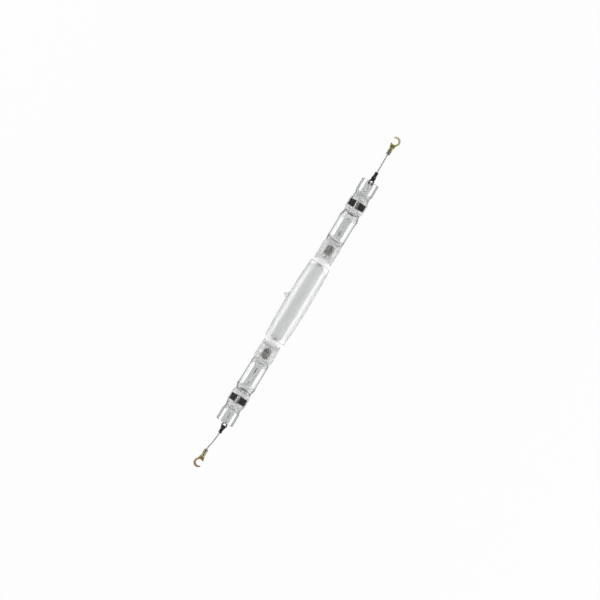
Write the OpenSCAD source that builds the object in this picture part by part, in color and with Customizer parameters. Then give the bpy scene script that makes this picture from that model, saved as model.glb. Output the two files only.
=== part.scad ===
// Double-ended metal halide lamp. One fused quartz envelope holds the arc tube, and at each end an inner
// press seal, a neck tube, an outer press seal and an open end sleeve. Foils, straps and rods lead the
// current through it, and a ring terminal, a stranded lead and an open hook lug hang on each end.
// The lamp lies along X about the middle of its arc tube. The foils lie flat in the XY plane, and the
// exhaust tip points along +Y. The left end, at -X, is the right end turned half round Z.

/* [Arc tube] */
// Outer diameter at the middle of the arc tube
bulb_mid_d = 32.2; // [30:0.1:38]
// Outer diameter at each end of the arc tube's barrel
bulb_end_d = 29.3; // [27:0.1:34]
// Length of the barrel between the two shoulders
bulb_len = 106; // [80:1:160]
// Wall of the arc tube
bulb_wall = 2.2; // [1.4:0.1:3]
// Length of the rounded shoulder at each end
shoulder_len = 9; // [7:0.5:12]
// Outer diameter at the foot of each shoulder
shoulder_d = 23.4; // [21:0.1:26]

/* [Exhaust tip] */
// Distance of the exhaust tip from the middle of the arc tube
tip_x = 1.3; // [-30:0.1:30]
// Diameter of the tip where it leaves the arc tube
tip_base_d = 7; // [5:0.1:9]
// Diameter of the tip's rounded nose
tip_nose_d = 2.6; // [2:0.1:4]
// Height of the nose above the arc tube
tip_rise = 5.7; // [4:0.1:9]
// Wall of the tip
tip_wall = 0.9; // [0.6:0.1:1.2]

/* [Inner seal] */
// Width of the inner seal beside the arc tube
inner_seal_w = 25; // [22:0.1:28]
// Width of the inner seal at its lip beside the neck
inner_lip_w = 26; // [22:0.1:29]
// Length of the flat part of the inner seal
inner_flat_len = 18; // [16:0.5:26]
// Width of the waist between the inner seal and the neck
inner_waist_d = 23.2; // [20:0.1:25]

/* [Neck tube] */
// Outer diameter of the neck tube
neck_d = 24.3; // [22:0.1:28]
// Length of the neck tube between the two seals' ramps
neck_len = 37; // [28:0.5:60]
// Outer diameter of the flare beside the outer seal
neck_flare_d = 25.3; // [22.5:0.1:29]
// Wall of the neck tube
neck_wall = 1.6; // [1.2:0.1:2.4]

/* [Outer seal] */
// Width of the outer seal across its foil
outer_seal_w = 25.6; // [24.4:0.1:29]
// Length of the flat part of the outer seal
outer_flat_len = 17.5; // [16:0.5:26]
// Width of the waist between the neck and the outer seal
neck_waist_d = 22.3; // [20:0.1:24.5]
// Width of the waist between the outer seal and the end sleeve
sleeve_waist_d = 21.4; // [20:0.1:24]

/* [Pressing] */
// Thickness of both seals between their beads
seal_t = 6; // [5:0.1:8]
// Thickness of the bead along each edge of a seal
bead_d = 8; // [6.6:0.1:9]
// Length of the curved ramp from a seal to a round tube
ramp_len = 7.5; // [6:0.5:10]

/* [End sleeve] */
// Outer diameter of the end sleeve
sleeve_d = 24.4; // [22:0.1:28]
// Length of the end sleeve from its ramp to its open mouth
sleeve_len = 18.5; // [14:0.5:30]
// Wall of the end sleeve
sleeve_wall = 1.6; // [1.2:0.1:2.4]

/* [End coats] */
// Thickness of the white coat on the arc tube's ends
coat_t = 0.25; // [0.15:0.05:0.5]
// How far the coat reaches beyond the foot of the shoulder
coat_reach = 3.4; // [2:0.1:5]
// Length of the coat along the axis
coat_len = 9.9; // [7:0.1:20]

/* [Electrodes] */
// Distance between the tips of the two electrodes
arc_len = 108.4; // [76:0.2:109]
// Diameter of the electrode rod
electrode_d = 1.8; // [1.4:0.1:2.4]
// Diameter of the wire of the electrode's coil
coil_wire_d = 0.9; // [0.6:0.1:1.2]
// Turns of the electrode's coil
coil_turns = 5; // [3:1:5]
// Bare length of the rod in front of its coil
electrode_bare = 1; // [0.5:0.1:2]

/* [Foils] */
// Thickness of both foils
foil_t = 0.3; // [0.2:0.05:0.5]
// Length of the inner foil along the lamp
inner_foil_len = 12.4; // [10:0.1:13]
// Width of the inner foil across the lamp
inner_foil_w = 10; // [8:0.1:14]
// Length of the outer foil along the lamp
outer_foil_len = 9.5; // [7:0.1:11]
// Width of the outer foil across the lamp
outer_foil_w = 22; // [16:0.1:22.6]

/* [Straps] */
// Thickness of both straps
strap_t = 2.6; // [2.4:0.1:3.4]
// Width of the inner strap
inner_strap_w = 4.7; // [4.2:0.1:6]
// Width of the outer strap
outer_strap_w = 5.4; // [4.6:0.1:7]
// Solid end of the inner strap, beyond its foil
inner_strap_end = 1.6; // [1.4:0.1:2]
// Solid end of the outer strap, beyond its foil
outer_strap_end = 2.7; // [1.6:0.1:3]

/* [Rods] */
// Diameter of the rods in the neck tube
link_d = 2.2; // [1.6:0.1:2.3]
// Outer diameter of the ferrule that joins them
ferrule_d = 3.4; // [3:0.1:5]
// Length of the ferrule
ferrule_len = 7.8; // [5:0.1:12]
// Distance of the ferrule's middle from the start of the neck tube
ferrule_at = 9.6; // [8:0.1:20]
// Diameter of the pin in the end sleeve
pin_d = 2.2; // [1.6:0.1:2.3]

/* [Ring terminals] */
// Distance of the left ring's centre beyond the sleeve's mouth
ring_out_left = 3.5; // [0:0.1:4]
// Distance of the right ring's centre beyond the sleeve's mouth
ring_out_right = 0; // [-2:0.1:4]
// Outer diameter of the ring
ring_d = 8.2; // [7:0.1:10]
// Diameter of the hole in the ring
ring_hole_d = 4.3; // [3:0.1:5]
// Thickness of the terminal's sheet
ring_t = 1; // [0.8:0.1:1.2]
// Outer diameter of the terminal's crimped barrel
ring_barrel_d = 5; // [4.4:0.1:6]
// Length of the terminal's crimped barrel
ring_barrel_len = 7; // [5:0.1:9]

/* [Lead wires] */
// Diameter of the stranded lead
lead_d = 1.7; // [1.2:0.1:2.4]

/* [Hook lugs] */
// Outer diameter of the hook
hook_d = 12.6; // [11.6:0.1:15]
// Diameter of the stud that the hook takes
hook_hole_d = 8.4; // [6.4:0.1:9]
// Angle of the hook's open mouth
hook_mouth = 84; // [60:1:110]
// Direction of the mouth, measured from the lamp's axis
hook_mouth_way = 92; // [70:1:110]
// Thickness of the lug's sheet
hook_t = 1; // [0.8:0.1:1.4]
// Outer diameter of the lug's crimped barrel
hook_barrel_d = 5.6; // [4.8:0.1:7]
// Length of the lug's crimped barrel
hook_barrel_len = 10.5; // [8:0.1:14]
// Distance from the barrel to the centre of the hook's hole
hook_neck_len = 9; // [8:0.1:12]

/* [Hidden] */
$fn = 64;

// The two ends of the lamp
LEFT = 0;
RIGHT = 1;

// Clearances and small shared sizes
seal_gap = 0.05;
rod_fit = 0.05;
wire_fit = 0.08;
overrun = 1;
press_lap = 1;
bead_run_share = 0.42;
bead_trim = 1.3;
dome_len = 4;
dome_reach = 1.5;
ease_steps = 4;
barrel_steps = 12;
ramp_steps = 5;

// Radii of the envelope
bulb_mid_r = bulb_mid_d / 2;
bulb_end_r = bulb_end_d / 2;
free_h = bulb_mid_r + 2 * overrun;
seal_h = seal_t / 2;
bead_r = bead_d / 2;
ramp_rise = neck_d / 2 - seal_h;
ramp_reach = ramp_len * sqrt((free_h - seal_h) / ramp_rise);

// Places along the lamp, from its middle out to one mouth
bulb_x = bulb_len / 2;
shoulder_x = bulb_x + shoulder_len;
inner_flat_x = shoulder_x + ramp_len - press_lap;
inner_flat_end = inner_flat_x + inner_flat_len;
neck_x = inner_flat_end + ramp_len;
neck_end = neck_x + neck_len;
outer_flat_x = neck_end + ramp_len;
outer_flat_end = outer_flat_x + outer_flat_len;
sleeve_x = outer_flat_end + ramp_len;
mouth_x = sleeve_x + sleeve_len;

// Tip of the electrode, and the space that its coil needs behind it
electrode_r = electrode_d / 2;
electrode_tip_x = arc_len / 2;
coil_r = electrode_r + coil_wire_d / 2 + rod_fit;
coil_spread = 1.06;
coil_pitch = coil_wire_d * coil_spread;
coil_start = electrode_tip_x + electrode_bare + coil_wire_d / 2;
coil_ring_steps = 16;
coil_sides = 8;
coil_space_r = coil_r + coil_wire_d / 2 + seal_gap;
coil_space_end = coil_start + coil_pitch * coil_turns + coil_wire_d / 2 + seal_gap;

// Foils lie in the middle of their seals, the inner one a little towards the neck and behind the coil
inner_foil_shift = 0.8;
inner_strap_len = inner_foil_len + 2 * inner_strap_end;
inner_mid = max((inner_flat_x + inner_flat_end) / 2 + inner_foil_shift,
    coil_space_end + seal_gap + inner_strap_len / 2);
outer_mid = (outer_flat_x + outer_flat_end) / 2;
outer_strap_len = outer_foil_len + 2 * outer_strap_end;
rod_seat = 1.2;

// Rods
electrode_end = inner_mid - inner_strap_len / 2 + rod_seat;
link_r = link_d / 2;
inner_lead_x = inner_mid + inner_strap_len / 2 - rod_seat;
ferrule_x = neck_x + ferrule_at;
link_end = outer_mid - outer_strap_len / 2 + rod_seat;
pin_r = pin_d / 2;
pin_x = outer_mid + outer_strap_len / 2 - rod_seat;
pin_bend_in = 3;
pin_bend_x = sleeve_x + pin_bend_in;
tang_reach = 1.5;

// Drop of mercury, at this share of the way to the barrel's end
drop_at = 0.84;
drop_r = 0.8;

// The coat's far edge is an arc, this much wider than the arc tube's end
bow_margin = 2.35;

// Terminal, lug and lead
lead_r = lead_d / 2;
lead_sides = 8;
ring_r = ring_d / 2;
ring_hole_r = ring_hole_d / 2;
ring_barrel_r = ring_barrel_d / 2;
ring_barrel_in = 1;
tang_w = 2.8;
tang_t = 1;
hook_r = hook_d / 2;
hook_hole_r = hook_hole_d / 2;
hook_barrel_r = hook_barrel_d / 2;
hook_wire_out = 1;
hook_hole_rise = 0.6;
hook_back = [0.7, -1];
scoop_len = 3.4;
sheet_lap = 1;
crimp_depth = 0.35;
crimp_w = 0.7;
crimp_slant = 28;

// Shares of the lugs' radii at which their necks start and end
ring_neck_share = 0.8;
neck_foot_share = 0.6;
hook_crotch_low = 1.05;
hook_crotch_high = 1.1;
hook_crotch_in = 0.5;
sector_steps = 4;
scoop_slope = 55;

// Routes of the two leads, from inside the ring terminal's barrel to just past the lug's barrel. Each point
// is measured outwards from its own mouth, sideways from the axis and up.
left_route = [
    [9, 2, 0], [12, 2, 0], [15, 2, 0], [18, 1.8, 0], [21, 1.6, 0], [24, 1.3, 0], [27, 0.9, 0], [30, 0.5, 0],
    [33, 0, 0], [36, -0.6, 0], [39, -1.1, 0], [42, -1.2, 0], [45, -1.2, 0], [48, -1.2, 0], [51, -1.2, 0],
    [53.5, -1.2, 0],
];
right_route = [
    [9, -0.5, 0], [12, -0.5, 0], [15, -0.5, 0], [18, -0.5, 0], [21, -0.4, 0], [24, -0.4, 0], [27, -0.3, 0],
    [30, -0.3, 0], [33, -0.2, 0], [36, -0.1, 0], [39, 0, 0], [42, 0, 0], [45, 0, 0], [48, 0, 0], [51, 0, 0],
    [53.5, 0, 0],
];

function route(end) = end == LEFT ? left_route : right_route;
function last(list) = list[len(list) - 1];
function ring_x(end) = mouth_x + (end == LEFT ? ring_out_left : ring_out_right);
function ring_y(end) = route(end)[0][1];
function ring_barrel_x(end) = mouth_x + route(end)[0][0] - ring_barrel_in;
function hook_x(end) = mouth_x + last(route(end))[0] - hook_wire_out - hook_barrel_len;
function hook_y(end) = last(route(end))[1];
function hook_hole_x(end) = hook_x(end) + hook_barrel_len + hook_neck_len;

// Smooth step from 0 to 1
function ease(t) = (1 - cos(180 * t)) / 2;

// Points of a smooth swell between two stations, without the first one
function swell(a, b) =
    let (n = a[1] == b[1] ? 1 : ease_steps)
    [for (i = [1:n]) [a[0] + (b[0] - a[0]) * i / n, a[1] + (b[1] - a[1]) * ease(i / n)]];

// Radius of the arc tube's barrel, a shallow parabola from the middle to each end
function barrel_radius(x) = bulb_mid_r - (bulb_mid_r - bulb_end_r) * pow(x / bulb_x, 2);

// Shares of a stretch's length at which the outside's profile turns
lip_from = 0.35;
lip_at = 0.83;
waist_at = 0.5;
flare_from = 0.32;
flare_at = 0.08;
neck_waist_at = 0.35;
wide_from = 0.22;
wide_to = 0.28;
sleeve_waist_at = 0.32;
neck_lead_in = 0.5;
sleeve_lead_in = 2.5;

// Stations of the outside from the foot of the shoulder to the mouth: place and radius
stations = [
    [shoulder_x, shoulder_d / 2],
    [inner_flat_x, inner_seal_w / 2],
    [inner_flat_x + inner_flat_len * lip_from, inner_seal_w / 2],
    [inner_flat_x + inner_flat_len * lip_at, inner_lip_w / 2],
    [inner_flat_end + ramp_len * waist_at, inner_waist_d / 2],
    [neck_x + neck_lead_in, neck_d / 2],
    [neck_end - neck_len * flare_from, neck_d / 2],
    [neck_end - neck_len * flare_at, neck_flare_d / 2],
    [neck_end + ramp_len * neck_waist_at, neck_waist_d / 2],
    [outer_flat_x + outer_flat_len * wide_from, outer_seal_w / 2],
    [outer_flat_end - outer_flat_len * wide_to, outer_seal_w / 2],
    [sleeve_x - ramp_len * sleeve_waist_at, sleeve_waist_d / 2],
    [sleeve_x + sleeve_lead_in, sleeve_d / 2],
    [mouth_x, sleeve_d / 2],
];

// Half of the outside's profile, from the middle of the lamp to the mouth
half_profile = concat(
    [for (i = [0:barrel_steps]) let (x = bulb_x * i / barrel_steps) [x, barrel_radius(x)]],
    [for (i = [1:ease_steps]) let (t = i / ease_steps)
        [bulb_x + shoulder_len * t, shoulder_d / 2 + (bulb_end_r - shoulder_d / 2) * (1 - t * t)]],
    [for (k = [0:len(stations) - 2]) each swell(stations[k], stations[k + 1])]
);

// Mirror of a profile about the middle of the lamp, running inwards
function mirrored(profile) = [for (i = [len(profile) - 1:-1:1]) [-profile[i][0], profile[i][1]]];

// A profile of places and radii turned about the lamp's axis, its ends closed on the axis
module turned(profile) {
    rotate([0, 90, 0])
        rotate_extrude()
            polygon(concat([[0, profile[0][0]]], [for (p = profile) [p[1], p[0]]], [[0, last(profile)[0]]]));
}

// Points of one press ramp, which rises from the seal in a parabola past the round tube's radius
function ramp(x, way, grow) =
    [for (i = [0:ramp_steps]) let (t = i / ramp_steps)
        [x + way * ramp_reach * t, seal_h + grow + (free_h - seal_h) * t * t]];

function reversed(list) = [for (i = [len(list) - 1:-1:0]) list[i]];

// Upper edge of what the press leaves, on one half of the lamp
function pressed_edge(grow) = concat(
    reversed(ramp(inner_flat_x, -1, grow)), ramp(inner_flat_end, 1, grow),
    reversed(ramp(outer_flat_x, -1, grow)), ramp(outer_flat_end, 1, grow),
    [[mouth_x + overrun, free_h + grow]]
);

// Space that the press leaves free: thin at the seals, high at the round tubes
module press_space(grow) {
    edge = pressed_edge(grow);
    top = concat([for (p = reversed(edge)) [-p[0], p[1]]], edge);
    rotate([90, 0, 0])
        linear_extrude(height = 2 * free_h + 4 * grow, center = true)
            polygon(concat(top, [for (p = reversed(top)) [p[0], -p[1]]]));
}

// Round beads along both edges of the seal between two places
module seal_beads(x0, x1, w, grow) {
    for (side = [-1, 1])
        translate([x0, side * (w / 2 + bead_trim - bead_r), 0])
            rotate([0, 90, 0])
                cylinder(h = x1 - x0, r = bead_r + grow);
}

// Outside of the quartz as turned and then pressed flat at its four seals
module pressed_blank(grow) {
    bead_run = ramp_len * bead_run_share;
    profile = [for (p = half_profile) [p[0], p[1] + grow]];
    intersection() {
        turned(concat(mirrored(profile), profile));
        union() {
            press_space(grow);
            for (end = [LEFT, RIGHT])
                rotate([0, 0, turn(end)]) {
                    seal_beads(inner_flat_x - bead_run, inner_flat_end + bead_run, inner_seal_w, grow);
                    seal_beads(outer_flat_x - bead_run, outer_flat_end + bead_run, outer_seal_w, grow);
                }
        }
    }
}

function turn(end) = end == LEFT ? 180 : 0;

// Hollow tube space with domed ends; the far end stays open where it runs out of the mouth
module domed_space(x0, x1, r, far_dome) {
    dome = [for (i = [0:ease_steps]) let (t = i / ease_steps) [dome_len * (1 - sqrt(1 - t * t)), r * t]];
    near = [for (p = dome) [x0 + p[0], p[1]]];
    far = far_dome ? [for (p = reversed(dome)) [x1 - p[0], p[1]]] : [[x1, r]];
    turned(concat(near, far));
}

// Space inside the arc tube, domed into both shoulders
module arc_space() {
    end_x = shoulder_x + dome_reach;
    barrel = [for (i = [0:barrel_steps]) let (x = bulb_x * i / barrel_steps) [x, barrel_radius(x) - bulb_wall]];
    dome = [for (i = [1:ease_steps + 2]) let (t = i / (ease_steps + 2))
        [bulb_x + (end_x - bulb_x) * t, (bulb_end_r - bulb_wall) * sqrt(1 - t * t)]];
    half = concat(barrel, dome);
    turned(concat(mirrored(half), half));
}

// Sealed-off exhaust tip, a cone with a round nose
module tip_cone(base_r, nose_r, rise) {
    nose = [for (i = [0:ease_steps * 2]) let (a = 90 * i / (ease_steps * 2))
        [nose_r * cos(a), bulb_mid_r + rise - nose_r + nose_r * sin(a)]];
    translate([tip_x, 0, 0])
        rotate([-90, 0, 0])
            rotate_extrude()
                polygon(concat([[0, bulb_mid_r - bulb_wall], [base_r, bulb_mid_r - bulb_wall]], nose));
}

// Bar along the lamp's axis from one place to another
module bar(x0, x1, r) {
    translate([x0, 0, 0])
        rotate([0, 90, 0])
            cylinder(h = x1 - x0, r = r);
}

// Section of a flattened tube: flat faces and two round edges
function flat_tube_section(w, t) =
    let (n = 6, r = t / 2, c = w / 2 - r)
    concat(
        [for (i = [0:n]) let (a = -90 + 180 * i / n) [c + r * cos(a), r * sin(a)]],
        [for (i = [0:n]) let (a = 90 + 180 * i / n) [-c + r * cos(a), r * sin(a)]]
    );

module strap_blank(mid, length, w, t) {
    translate([mid - length / 2, 0, 0])
        rotate([90, 0, 90])
            linear_extrude(height = length)
                polygon(flat_tube_section(w, t));
}

module foil_blank(mid, length, w, grow) {
    translate([mid, 0, 0])
        cube([length + 2 * grow, w + 2 * grow, foil_t + 2 * grow], center = true);
}

// Strap folded over its foil, with a hole in each end for a rod
module strap(mid, foil_length, end_wall, w, in_r, out_r) {
    length = foil_length + 2 * end_wall;
    difference() {
        strap_blank(mid, length, w, strap_t);
        foil_blank(mid, foil_length, w + 2 * overrun, rod_fit);
        bar(mid - length / 2 - overrun, mid - length / 2 + rod_seat + rod_fit, in_r + rod_fit);
        bar(mid + length / 2 - rod_seat - rod_fit, mid + length / 2 + overrun, out_r + rod_fit);
    }
}

// Pockets in the quartz for one seal's foil and strap
module seal_pockets(mid, foil_length, foil_w, strap_len, strap_w) {
    foil_blank(mid, foil_length, foil_w, seal_gap);
    strap_blank(mid, strap_len + 2 * seal_gap, strap_w + 2 * seal_gap, strap_t + 2 * seal_gap);
}

// Everything that is hollow at one end of the envelope
module end_spaces() {
    domed_space(neck_x - dome_len / 2, neck_end, neck_d / 2 - neck_wall, true);
    domed_space(sleeve_x - dome_len / 2, mouth_x + overrun, sleeve_d / 2 - sleeve_wall, false);
    seal_pockets(inner_mid, inner_foil_len, inner_foil_w, inner_strap_len, inner_strap_w);
    seal_pockets(outer_mid, outer_foil_len, outer_foil_w, outer_strap_len, outer_strap_w);
    bar(electrode_tip_x, coil_space_end, coil_space_r);
    bar(bulb_x, inner_mid, electrode_r + seal_gap);
    bar(inner_mid, neck_x + dome_len, link_r + seal_gap);
    bar(neck_end - dome_len, outer_mid, link_r + seal_gap);
    bar(outer_mid, sleeve_x + dome_len, pin_r + seal_gap);
}

module quartz_envelope() {
    color([0.86, 0.9, 0.92, 0.35])
        difference() {
            union() {
                pressed_blank(0);
                tip_cone(tip_base_d / 2, tip_nose_d / 2, tip_rise);
            }
            arc_space();
            tip_cone(tip_base_d / 2 - tip_wall, tip_nose_d / 2 - tip_wall / 2, tip_rise - 2 * tip_wall);
            for (end = [LEFT, RIGHT])
                rotate([0, 0, turn(end)])
                    end_spaces();
        }
}

// Drop of mercury that clings to the wall of the arc tube
module mercury_bead() {
    bead_x = -bulb_x * drop_at;
    color("silver")
        translate([bead_x, -(barrel_radius(bead_x) - bulb_wall - drop_r - rod_fit), 0])
            sphere(r = drop_r);
}

// White coat on the outside of the arc tube's end, its far edge bowed outwards
module end_coat(end) {
    bow_r = bulb_end_r + bow_margin;
    far = shoulder_x + coat_reach;
    color([0.96, 0.95, 0.94])
        rotate([0, 0, turn(end)])
            difference() {
                intersection() {
                    pressed_blank(coat_t);
                    translate([far - bow_r, 0, -free_h])
                        cylinder(h = 2 * free_h, r = bow_r);
                    translate([far - coat_len, -free_h, -free_h])
                        cube([coat_len + overrun, 2 * free_h, 2 * free_h]);
                }
                pressed_blank(0);
            }
}

// Tungsten rod with a rounded tip
module electrode_rod(end) {
    round_r = electrode_r / 2;
    nose = [for (i = [0:ease_steps]) let (a = 90 * i / ease_steps)
        [electrode_tip_x + round_r * (1 - sin(a)), electrode_r - round_r + round_r * cos(a)]];
    color([0.45, 0.45, 0.46])
        rotate([0, 0, turn(end)])
            turned(concat(reversed(nose), [[electrode_end, electrode_r]]));
}

// Ring of points round a path's point, for a tube of one radius
function tube_ring(p, along, up, r, sides) =
    let (side = cross(along, up), s = side / norm(side), u = cross(s, along / norm(along)))
    [for (k = [0:sides - 1]) let (a = 360 * k / sides) p + r * (s * cos(a) + u * sin(a))];

// Tube with flat ends swept along a path, with one upward direction for each point
module swept_tube(path, ups, r, sides) {
    n = len(path);
    function along(i) = path[min(i + 1, n - 1)] - path[max(i - 1, 0)];
    points = [for (i = [0:n - 1]) each tube_ring(path[i], along(i), ups[i], r, sides)];
    walls = [for (i = [0:n - 2]) for (k = [0:sides - 1])
        let (k2 = (k + 1) % sides) [i * sides + k, (i + 1) * sides + k, (i + 1) * sides + k2, i * sides + k2]];
    caps = [[for (k = [0:sides - 1]) k], [for (k = [sides - 1:-1:0]) (n - 1) * sides + k]];
    polyhedron(points = points, faces = concat(walls, caps), convexity = 6);
}

// Wire wound round the electrode behind its tip
module electrode_coil(end) {
    steps = coil_turns * coil_ring_steps;
    ups = [for (i = [0:steps]) let (a = 360 * i / coil_ring_steps) [0, cos(a), sin(a)]];
    path = [for (i = [0:steps]) [coil_start + coil_pitch * i / coil_ring_steps, 0, 0] + coil_r * ups[i]];
    color([0.4, 0.4, 0.42])
        rotate([0, 0, turn(end)])
            swept_tube(path, ups, coil_wire_d / 2, coil_sides);
}

module inner_foil(end) {
    color([0.55, 0.53, 0.5])
        rotate([0, 0, turn(end)])
            foil_blank(inner_mid, inner_foil_len, inner_foil_w, 0);
}

module inner_strap(end) {
    color([0.4, 0.4, 0.4])
        rotate([0, 0, turn(end)])
            strap(inner_mid, inner_foil_len, inner_strap_end, inner_strap_w, electrode_r, link_r);
}

// Rod from the inner strap to the middle of the ferrule
module inner_lead(end) {
    color([0.6, 0.6, 0.61])
        rotate([0, 0, turn(end)])
            bar(inner_lead_x, ferrule_x - rod_fit, link_r);
}

// Tube that joins the inner lead to the link rod, rolled down at two places
module splice_ferrule(end) {
    color([0.66, 0.66, 0.66])
        rotate([0, 0, turn(end)])
            difference() {
                bar(ferrule_x - ferrule_len / 2, ferrule_x + ferrule_len / 2, ferrule_d / 2);
                bar(ferrule_x - ferrule_len, ferrule_x + ferrule_len, link_r + rod_fit);
                for (side = [-1, 1])
                    translate([ferrule_x + side * ferrule_len / 4, 0, 0])
                        rotate([0, 90, 0])
                            crimp_groove(ferrule_d / 2, crimp_depth / 2);
            }
}

// Rod from the ferrule through the neck tube to the outer strap
module link_rod(end) {
    color([0.6, 0.6, 0.61])
        rotate([0, 0, turn(end)])
            bar(ferrule_x + rod_fit, link_end, link_r);
}

module outer_foil(end) {
    color([0.13, 0.13, 0.12])
        rotate([0, 0, turn(end)])
            foil_blank(outer_mid, outer_foil_len, outer_foil_w, 0);
}

module outer_strap(end) {
    color([0.72, 0.72, 0.7])
        rotate([0, 0, turn(end)])
            strap(outer_mid, outer_foil_len, outer_strap_end, outer_strap_w, link_r, pin_r);
}

// Groove round a barrel of the given radius, square to the Z axis
module crimp_groove(r, depth) {
    rotate_extrude()
        translate([r - depth, -crimp_w / 2])
            square([depth + overrun, crimp_w]);
}

// Pin through the end sleeve, bent towards the ring and flattened where it lies on the ring
module outer_pin(end) {
    tang_x = ring_x(end) - ring_r - tang_reach;
    bend = atan2(ring_y(end), tang_x - pin_bend_x);
    run = norm([tang_x - pin_bend_x, ring_y(end)]);
    color([0.5, 0.5, 0.5])
        rotate([0, 0, turn(end)]) {
            bar(pin_x, pin_bend_x, pin_r);
            translate([pin_bend_x, 0, 0]) {
                sphere(r = pin_r + rod_fit);
                rotate([0, 0, bend])
                    bar(0, run, pin_r);
            }
            translate([tang_x - tang_t, ring_y(end) - tang_w / 2, ring_t - ring_barrel_r])
                cube([ring_x(end) - ring_hole_r - tang_x, tang_w, tang_t]);
        }
}

// Rolled barrel along X that starts at the origin, with a scoop that runs down into the lug's sheet
module crimp_barrel(r, length, sheet, scoop_way) {
    scoop_x = scoop_way > 0 ? length : 0;
    difference() {
        bar(0, length, r);
        bar(-overrun, length + overrun, lead_r + wire_fit);
    }
    difference() {
        bar(scoop_way > 0 ? length - overrun : -scoop_len, scoop_way > 0 ? length + scoop_len : overrun, r);
        bar(-scoop_len - overrun, length + scoop_len + overrun, r - sheet);
        translate([scoop_x, 0, r])
            rotate([0, scoop_way * scoop_slope, 0])
                translate([scoop_way > 0 ? 0 : -4 * r, -2 * r, -4 * r])
                    cube([4 * r, 4 * r, 8 * r]);
    }
}

// Blackened ring terminal: a ring, a short neck and a barrel crimped on the lead
module ring_terminal(end) {
    x0 = ring_barrel_x(end);
    neck_root = ring_x(end) + ring_hole_r;
    color([0.16, 0.15, 0.15])
        rotate([0, 0, turn(end)])
            translate([0, ring_y(end), 0]) {
                translate([0, 0, -ring_barrel_r])
                    linear_extrude(height = ring_t)
                        difference() {
                            union() {
                                translate([ring_x(end), 0])
                                    circle(r = ring_r);
                                polygon([[neck_root, -ring_r * ring_neck_share],
                                    [x0 + sheet_lap, -ring_barrel_r * neck_foot_share],
                                    [x0 + sheet_lap, ring_barrel_r * neck_foot_share],
                                    [neck_root, ring_r * ring_neck_share]]);
                            }
                            translate([ring_x(end), 0])
                                circle(r = ring_hole_r);
                        }
                difference() {
                    translate([x0, 0, 0])
                        crimp_barrel(ring_barrel_r, ring_barrel_len, ring_t, -1);
                    for (k = [1, 2])
                        translate([x0 + ring_barrel_len * k / 3, 0, 0])
                            rotate([0, 90, 0])
                                crimp_groove(ring_barrel_r, crimp_depth);
                }
            }
}

// Stranded lead along its route, shown as one round wire
module lead_wire(end) {
    path = [for (p = route(end)) [mouth_x, 0, 0] + p];
    color([0.68, 0.68, 0.66])
        rotate([0, 0, turn(end)])
            swept_tube(path, [for (p = path) [0, 0, 1]], lead_r, lead_sides);
}

// Open brass hook lug. The hole sits off the hook's centre, so the back is thick and the tip is thin.
module hook_lug(end) {
    x0 = hook_x(end);
    barrel_end = x0 + hook_barrel_len;
    hole = [hook_hole_x(end), hook_hole_rise];
    mouth_r = 2 * hook_r;
    mouth_from = hook_mouth_way - hook_mouth / 2;
    color([0.72, 0.6, 0.34])
        rotate([0, 0, turn(end)])
            translate([0, hook_y(end), 0]) {
                translate([0, 0, -hook_barrel_r])
                    linear_extrude(height = hook_t)
                        difference() {
                            union() {
                                translate(hole + hook_back)
                                    circle(r = hook_r);
                                polygon([[barrel_end - sheet_lap, -hook_barrel_r * neck_foot_share],
                                    [hole[0] - hook_hole_r, -hook_hole_r * hook_crotch_low],
                                    [hole[0] - hook_hole_r * hook_crotch_in, hook_hole_r * hook_crotch_high],
                                    [hole[0] - hook_hole_r * hook_crotch_high, hook_hole_r * hook_crotch_high],
                                    [barrel_end - sheet_lap, hook_barrel_r * neck_foot_share]]);
                            }
                            translate(hole)
                                circle(r = hook_hole_r);
                            translate(hole)
                                polygon(concat([[0, 0]], [for (i = [0:sector_steps])
                                    let (a = mouth_from + hook_mouth * i / sector_steps)
                                    mouth_r * [cos(a), sin(a)]]));
                        }
                difference() {
                    translate([x0, 0, 0])
                        crimp_barrel(hook_barrel_r, hook_barrel_len, hook_t, 1);
                    for (k = [1:3])
                        translate([x0 + hook_barrel_len * k / 4, 0, 0])
                            rotate([0, 90, 0])
                                rotate([-crimp_slant, 0, 0])
                                    crimp_groove(hook_barrel_r, crimp_depth);
                }
            }
}

quartz_envelope();
mercury_bead();
end_coat(LEFT);  // end_coat_left
electrode_rod(LEFT);  // electrode_rod_left
electrode_coil(LEFT);  // electrode_coil_left
inner_foil(LEFT);  // inner_foil_left
inner_strap(LEFT);  // inner_strap_left
inner_lead(LEFT);  // inner_lead_left
splice_ferrule(LEFT);  // splice_ferrule_left
link_rod(LEFT);  // link_rod_left
outer_foil(LEFT);  // outer_foil_left
outer_strap(LEFT);  // outer_strap_left
outer_pin(LEFT);  // outer_pin_left
ring_terminal(LEFT);  // ring_terminal_left
lead_wire(LEFT);  // lead_wire_left
hook_lug(LEFT);  // hook_lug_left
end_coat(RIGHT);  // end_coat_right
electrode_rod(RIGHT);  // electrode_rod_right
electrode_coil(RIGHT);  // electrode_coil_right
inner_foil(RIGHT);  // inner_foil_right
inner_strap(RIGHT);  // inner_strap_right
inner_lead(RIGHT);  // inner_lead_right
splice_ferrule(RIGHT);  // splice_ferrule_right
link_rod(RIGHT);  // link_rod_right
outer_foil(RIGHT);  // outer_foil_right
outer_strap(RIGHT);  // outer_strap_right
outer_pin(RIGHT);  // outer_pin_right
ring_terminal(RIGHT);  // ring_terminal_right
lead_wire(RIGHT);  // lead_wire_right
hook_lug(RIGHT);  // hook_lug_right
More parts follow.
